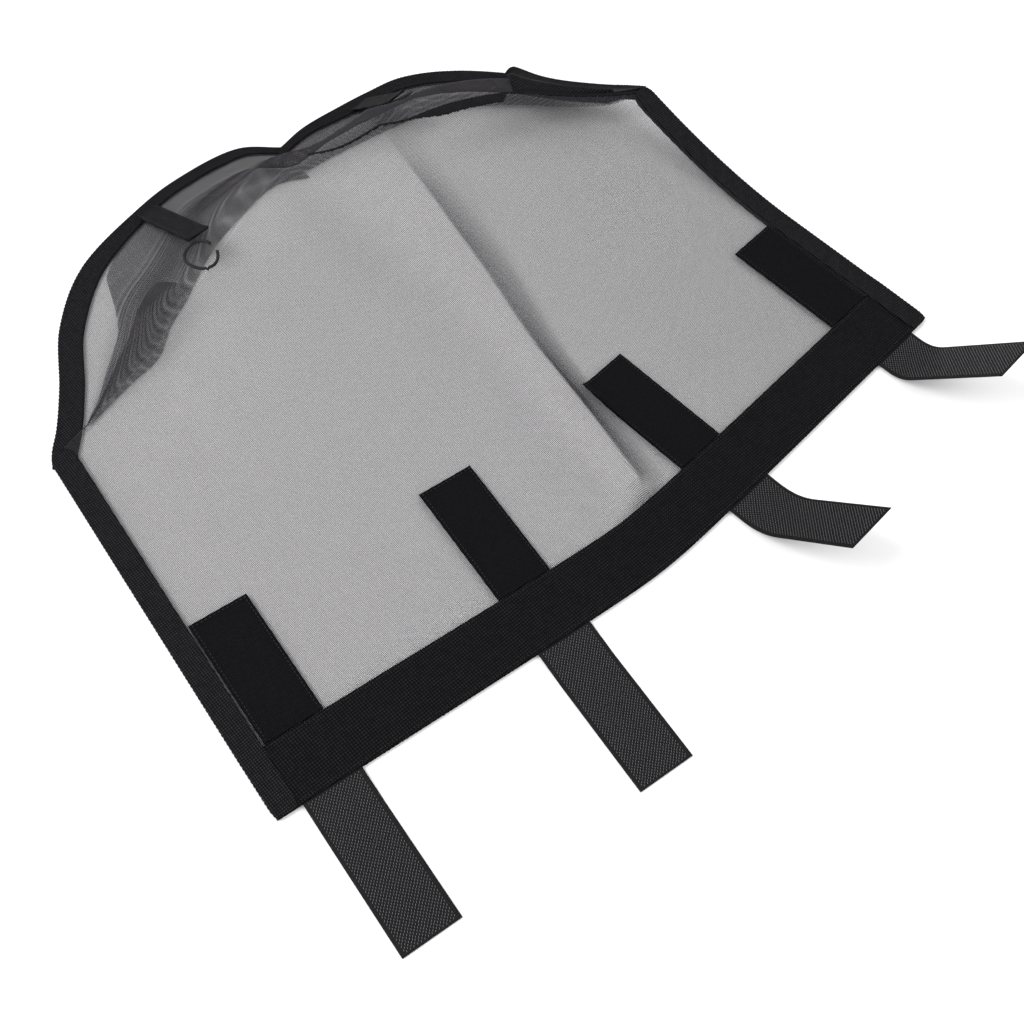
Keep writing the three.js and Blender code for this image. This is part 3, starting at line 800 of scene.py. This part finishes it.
def strap(number, place, curl, bend):
    half, d = (LEFT if place < 0 else RIGHT), abs(place)
    reach, rise, slopes = strap_profile(curl, bend)
    hidden = HEM - 8
    base_z = ROOT_Z + 0.1

    def point(w, s, lift):
        """w across the tape, s along it from the hem's edge, lift above its underside."""
        s = np.asarray(s, float)
        beyond = np.clip(s, 0, STRAP_LENGTH)
        out = np.interp(beyond, np.arange(len(reach)), reach) + np.minimum(s, 0)
        up = np.interp(beyond, np.arange(len(rise)), rise)
        slope = np.interp(beyond, np.arange(len(slopes)), slopes)
        sink = 0 if curl else -(base_z - 0.35) * smooth(6, 34, s) - 0.5 * np.exp(-((s - 13) / 5) ** 2)
        plan = beside_hem(half, d - half * w, -(out - lift * np.sin(slope)))
        return np.concatenate([plan, (base_z + up + sink + lift * np.cos(slope))[..., None]], axis=-1)

    width = np.concatenate([np.arange(-TAPE / 2, TAPE / 2, 1.1), [TAPE / 2]])
    along = np.arange(-hidden, STRAP_LENGTH + 0.01, 0.45)
    w, s = np.meshgrid(width, along, indexing="xy")
    edge = np.minimum(1, (TAPE / 2 - np.abs(w)) / 0.8)
    selvedge = np.abs(w) > TAPE / 2 - SELVEDGE
    fine = 0.16 * (0.5 + 0.5 * np.cos(2 * np.pi * s / 1.35))
    ribs = np.where(selvedge, fine, weave(s, w + TAPE, 1.8, 2.2) * 0.7)
    lift = 0.55 + 0.15 * edge + ribs * edge
    upper = point(w, s, lift)
    w2, s2 = np.meshgrid([-TAPE / 2, TAPE / 2], along, indexing="xy")
    lower = point(w2, s2, np.zeros_like(w2))
    tape = piece(f"strap_tape_{number}", *join([relief_slab(upper, lower)]), [TAPE_BASE], "hook_tape",
                 body=None)

    hooks = []
    columns = int((TAPE - 2 * SELVEDGE) / HOOK_COLUMN)
    first = -columns * HOOK_COLUMN / 2
    for row in range(int((STRAP_LENGTH - 3) / HOOK_ROW)):
        for column in range(columns + 1):
            s0 = 2 + row * HOOK_ROW + (HOOK_ROW / 2 if column % 2 else 0) + rng.normal(0, HOOK_JITTER)
            w0 = first + column * HOOK_COLUMN + rng.normal(0, HOOK_JITTER)
            centre = np.array([point(w0 + HOOK_LEAN * a, s0 + a, b) for a, b in HOOK_STEM])
            side = point(w0 + 1, s0, 1.0) - point(w0, s0, 1.0)
            side /= np.linalg.norm(side)
            way = np.gradient(centre, axis=0)
            way /= np.linalg.norm(way, axis=1, keepdims=True)
            normal = np.cross(side, way)
            hooks.append(sweep(np.stack([centre + side * HOOK_THICK, centre + normal * HOOK_THICK,
                                         centre - side * HOOK_THICK], axis=1)))
    points, faces = join(hooks)
    pile = piece(f"strap_hooks_{number}", points, faces, [HOOKS], "hook_tape", body=None)

    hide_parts(f"hook_strap_{number}", f"strap_root_{number}")
    for obj in (tape, pile):
        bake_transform(obj)


# ---- seam, tabs and stitches --------------------------------------------------------------------
SEAM_RIB = 1.5              # pitch of the fine ribs along the seam


def resting(point_at, along, width, thick, relief):
    """A closed strip over the surface point_at(along, width); relief is the height of its top."""
    a, w = np.meshgrid(along, width, indexing="ij")
    upper = point_at(a, w)
    lower = point_at(*np.meshgrid(along, width[[0, -1]], indexing="ij"))
    rim = np.minimum(1, np.minimum(w - width[0], width[-1] - w) / 0.8)
    upper[..., 2] += thick * (0.5 + 0.5 * np.sqrt(np.maximum(0, rim))) + relief(a, w) * rim
    return relief_slab(upper, lower)


def seam_allowance():
    """The seam's folded allowance along the right half of the panel's top, ragged beside the ridge."""
    across = np.linspace(SEAM_NOTCH - 0.01, 0.985, 700)
    hanging = 7.5 * smooth(0.655, 0.71, across) * (1 - smooth(0.785, 0.80, across))
    wide = 2.0 + hanging + 2.0 * smooth(0.80, 0.86, across)
    frayed = 0.6 * np.sin(across * 911) * np.sin(across * 397)

    def point_at(a, w):
        above, below = panel(a, 1.0), panel(a, 0.93)
        reach = np.interp(a, across, wide) * w + np.where(w > 0.99, np.interp(a, across, frayed), 0)
        place = mix(above, below, (reach / np.linalg.norm(below - above, axis=-1))[..., None])
        place[..., 2] += 0.9
        return place

    ribs = lambda a, w: 0.3 * (0.5 + 0.5 * np.cos(2 * np.pi * a * 2 * HALF_HEM / SEAM_RIB))
    solid = resting(point_at, across, np.linspace(0, 1, 9), 0.8, ribs)
    obj = piece("seam_allowance", *solid, [BOUND], "webbing")
    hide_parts("seam_tape")
    turned_edge()


TURNED_FROM = 0.60          # along the right lobe, where the turned cloth starts
TURNED_PEAK = 0.645         # and where it stands highest
TURNED_HEIGHT = 8.0
TURNED_REACH = 0.06         # how far the peak spreads along the lobe
TURNED_PAST = 1.1           # its rim reaches the lobe's edge at 1, and passes it above that
TURNED_RUN = 330            # millimetres of ribs over the whole lobe


def turned_edge():
    """The doubled cloth turned over the hood's binding, from the ridge's side to the right corner."""
    along = np.linspace(TURNED_FROM, 1.0, 260)
    grows = [TURNED_FROM, TURNED_FROM + 0.07]

    def point_at(a, w):
        row = 1.999 * w * np.interp(a, grows, [0.2, 1.0])
        place = hood_front(RIGHT, a, row)
        cover = nearest_edge(place[..., :2])[1] + HOOD_TOP_Z + 1.9
        place[..., 2] = np.maximum(place[..., 2] + 1.0, cover * (row > 1))
        out = LOBES[RIGHT].at(a)[..., :2] - place[..., :2]
        beyond = smooth(0.9, 1, w) * np.interp(a, grows, [0, TURNED_PAST])
        place[..., :2] += out * beyond[..., None]
        peak = TURNED_HEIGHT * np.exp(-((a - TURNED_PEAK) / TURNED_REACH) ** 2)
        place[..., 2] += peak * smooth(0.1, 0.6, w)
        return place

    ribs = lambda a, w: 0.06 * (0.5 + 0.5 * np.cos(2 * np.pi * a * TURNED_RUN / SEAM_RIB))
    solid = resting(point_at, along, np.linspace(0, 1, 24), 0.7, ribs)
    return piece("seam_turned_edge", *solid, [BOUND], "webbing")


TAB_FROM = {LEFT: 0.655, RIGHT: 0.24}   # along the lobe, where each tab leaves the binding
TAB_TO = {LEFT: 0.622, RIGHT: 0.29}     # and where it ends
TAB_ROWS = {LEFT: (1.7, 0.27), RIGHT: (1.7, 0.5)}   # the hood's rows at those two places
TAB_OVER = 1.3              # how far a tab lies over the cloth
TAB_RISE = 7.0              # how far its end stands up
LOOP_AT = {LEFT: (-10, -16), RIGHT: (4, 6)}         # a cord loop's centre, from its tab's end
LOOP_LONG = 16.0            # half its length and half its width
LOOP_SHORT = 13.0
LOOP_THICK = 2.8            # the cord's own thickness
DOUBLED = 8.0               # length of a tab's turned end


def hood_tab(half, side):
    """A short webbing strap on the hood, its end turned over and lifted, and the cord loop beside it."""
    first, last = TAB_ROWS[half]
    start = hood_front(half, TAB_FROM[half], first)
    end = hood_front(half, TAB_TO[half], last)
    length = float(np.linalg.norm(end - start))
    way = (end - start)[:2] / np.linalg.norm((end - start)[:2])
    sideways = np.array([-way[1], way[0]])
    tree = HOODS[half]

    def point_at(run, w):
        share = run / length
        plan = mix(start[:2], end[:2], share[..., None]) + sideways * w[..., None]
        chord = mix(start[2] + TAB_OVER, end[2] + TAB_RISE, share)
        under = height_over(tree, mix(start[:2], end[:2], share[..., None]), 0.0)
        z = np.maximum(under + TAB_OVER, chord)
        return np.concatenate([plan, z[..., None]], axis=-1)

    width = np.arange(-TAB_WIDTH / 2, TAB_WIDTH / 2 + 0.1, 1.1)
    runs = np.arange(0, length, 0.6)
    turned = lambda run: 1.7 * smooth(length - DOUBLED, length - DOUBLED + 1.5, run)
    relief = lambda run, w: weave(run, w + TAB_WIDTH, 1.8, 2.2) + turned(run)
    tab = piece(f"tab_webbing_{side}", *resting(point_at, runs, width, 1.1, relief), [BOUND], "webbing")
    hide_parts(f"hood_tab_{side}")
    sewn = runs[runs < length - DOUBLED]
    rows_of = [point_at(sewn, np.full(len(sewn), w)) + (0, 0, 1.45)
               for w in (-TAB_WIDTH / 2 + 2.2, TAB_WIDTH / 2 - 2.2)]
    stitches(f"tab_stitches_{side}", rows_of, thick=0.42)

    turn = np.radians(np.linspace(60, -260, 70))
    centre = end[:2] + LOOP_AT[half]
    middle = centre + LOOP_LONG * np.cos(turn)[:, None] * way
    middle = middle + LOOP_SHORT * np.sin(turn)[:, None] * sideways
    rest = height_over(tree, middle, float(end[2]))
    lift = 3.4 + 1.0 * np.sin(turn * 1.5)
    middle = np.column_stack([middle, np.maximum(rest, height_over(PANEL, middle, 0.0)) + lift])
    along = np.gradient(middle, axis=0)
    along /= np.linalg.norm(along, axis=1, keepdims=True)
    out = np.cross(along, (0, 0, 1.0))
    up = np.cross(out, along)
    ring = np.linspace(0, 2 * np.pi, 8, endpoint=False)
    rings = middle[:, None] + LOOP_THICK / 2 * (np.cos(ring)[:, None] * out[:, None]
                                                + np.sin(ring)[:, None] * up[:, None])
    loop = piece(f"loop_{side}", *sweep(rings), [LOOP_CORD], "webbing")
    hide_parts(f"tab_loop_{side}")


def stitches(name, lines, pitch=3.2, length=2.3, thick=0.32, slot="webbing"):
    """Rows of stitches, each a small spindle of thread on the cloth."""
    parts = []
    for line in lines:
        places = resampled(np.asarray(line, float), pitch)
        way = np.gradient(places, axis=0)
        way /= np.linalg.norm(way, axis=1, keepdims=True)
        side = np.cross(way, (0, 0, 1.0))
        side /= np.linalg.norm(side, axis=1, keepdims=True)
        up = np.cross(side, way)
        corners = np.stack([places - way * length / 2, places + side * thick, places + up * thick,
                            places - side * thick, places - up * thick,
                            places + way * length / 2], axis=1)
        start = np.arange(len(places))[:, None, None] * 6
        fan = [(0, k, k % 4 + 1) for k in (1, 2, 3, 4)] + [(5, k % 4 + 1, k) for k in (1, 2, 3, 4)]
        parts.append((corners.reshape(-1, 3), [(start + np.array(fan)).reshape(-1, 3)]))
    return piece(name, *join(parts), [THREAD], slot)


STITCH_INSET = 2.6          # from a row of stitches to the edge beside it


def sew():
    """The stitches that hold the hem's webbing and the patches."""
    across = np.linspace(0.03, 0.97, 400)
    height = np.full(len(across), FRONT_HEM_Z + 1.1)
    lines = [np.column_stack([hem_place(across, w), height])
             for w in (STITCH_INSET, HEM - STITCH_INSET)]
    stitches("hem_stitches", lines)
    for index, place in enumerate(STRAP_AT):
        half, d = (LEFT if place < 0 else RIGHT), abs(place)
        low, high = HEM + 3, HEM + PATCH_LENGTH - STITCH_INSET
        wide = TAPE / 2 - STITCH_INSET
        corners = [(-wide, low), (-wide, high), (wide, high), (wide, low)]
        box = [np.linspace(a, b, 60) for a, b in zip(corners, corners[1:])]
        sides = [beside_hem(half, d + half * b[:, 0], b[:, 1]) for b in box]
        over = FRONT_HEM_Z - PANEL_Z + 1.55
        rows_of = [np.column_stack([b, height_over(PANEL, b, PANEL_Z) + over]) for b in sides]
        stitches(f"patch_stitches_{index + 1}", rows_of, slot="loop_pile")


sew()
seam_allowance()
for half, side in ((LEFT, "left"), (RIGHT, "right")):
    hood_tab(half, side)
hem_band("hem_front", FRONT_HEM_Z, 0.8, "hem_webbing_front", WEAVE)
hem_band("hem_back", BACK_HEM_Z - 0.8, 0.8, "hem_webbing_back", 4.0)
for half, side in ((LEFT, "left"), (RIGHT, "right")):
    side_binding(half, side)
    hood_binding(half, side)
for index, (place, curl, bend) in enumerate(zip(STRAP_AT, STRAP_CURL, CURL_BEND)):
    loop_patch(index + 1, place)
    strap(index + 1, place, curl, bend)
